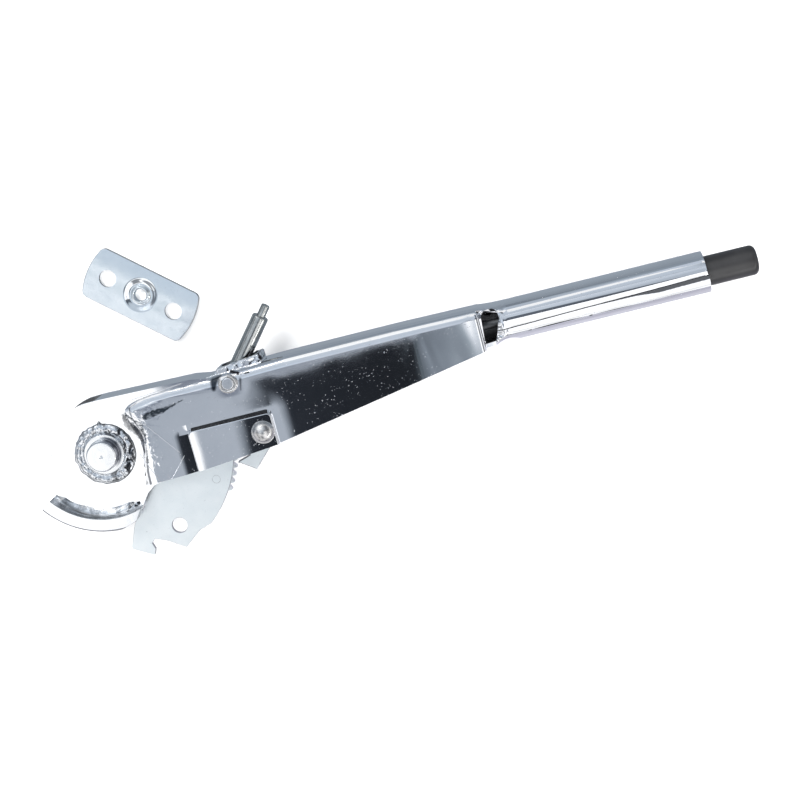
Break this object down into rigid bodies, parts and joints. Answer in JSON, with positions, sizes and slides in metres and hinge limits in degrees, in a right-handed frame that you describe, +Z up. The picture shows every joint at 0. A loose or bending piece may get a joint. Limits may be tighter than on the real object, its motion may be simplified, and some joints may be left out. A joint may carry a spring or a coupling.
{
  "type": "parking brake hand lever",
  "caption": "Chromed parking-brake hand lever with toothed sector, pawl, release button in a round grip, cable quadrant, cable swivel stud and a loose fixing plate.",
  "frame": {"origin": "centre of the lower pivot stub's end face, on the plane the lever lies on", "axes": "+Z up along the pivot shaft, +X along the grip towards the button, +Y to the side the cable stud leaves by"},
  "size_m": [0.4754, 0.1988, 0.044],
  "materials": {
    "chrome_shell": "polished chrome plating",
    "zinc": "satin zinc plating",
    "tooth_steel": "dark hardened steel",
    "plated_steel": "plated steel",
    "weld_metal": "rough plated weld",
    "quadrant_steel": "plated bar",
    "rivet_steel": "brushed",
    "pawl_steel": "zinc plated",
    "stud_steel": "turned steel",
    "bush_plastic": "black moulding",
    "button_plastic": "black, semi-gloss",
    "spring_steel": "spring wire"
  },
  "bodies": {
    "sector": {"ratchet_sector_plate": "zinc", "toothed_segment": "tooth_steel", "sector_rivets": "zinc"},
    "lever": {"lever_shell": "chrome_shell", "pivot_shaft": "plated_steel", "pivot_welds": "weld_metal", "cable_quadrant": "quadrant_steel", "quadrant_weld": "weld_metal", "shaft_spacers": "plated_steel", "pawl_rivet": "rivet_steel", "pawl_spacers": "plated_steel", "cable_pin": "rivet_steel", "cable_pin_clips": "rivet_steel", "cable_pin_spacers": "plated_steel", "rod_guide": "plated_steel", "grip_bush": "bush_plastic", "return_spring": "spring_steel"},
    "button_rod": {"push_button": "button_plastic", "push_rod": "plated_steel", "rod_end_cap": "plated_steel", "spring_washer": "plated_steel", "spring_seat_pin": "plated_steel"},
    "pawl": {"pawl": "pawl_steel"},
    "swivel": {"swivel_rod": "stud_steel"},
    "plate": {"fixing_plate": "zinc"}
  },
  "joints": [
    {"name": "lever_pull", "type": "hinge", "parent": "sector", "child": "lever", "pos_m": [0, 0, 0.022], "axis": [0, 0, 1], "range_deg": [-12, 24]},
    {"name": "button_press", "type": "slide", "parent": "lever", "child": "button_rod", "axis": [-1, 0, 0], "range_m": [0, 0.005], "stiffness_N_per_m": 800, "springref_m": -0.005, "deforming": ["return_spring"]},
    {"name": "pawl_lift", "type": "hinge", "parent": "lever", "child": "pawl", "pos_m": [0.1033, -0.0097, 0.022], "axis": [0, 0, 1], "range_deg": [0, 9.8]},
    {"name": "swivel_turn", "type": "hinge", "parent": "lever", "child": "swivel", "pos_m": [0.0898, 0.0254, 0.022], "axis": [0, 0, 1], "range_deg": [-4, 8]},
    {"name": "plate_shift", "type": "slide", "parent": "sector", "child": "plate", "axis": [-0.6, 0.8, 0], "range_m": [0, 0.04]}
  ],
  "couplings": [
    {"joint": "pawl_lift", "follows": "button_press", "rad_per_m": 33.44}
  ]
}
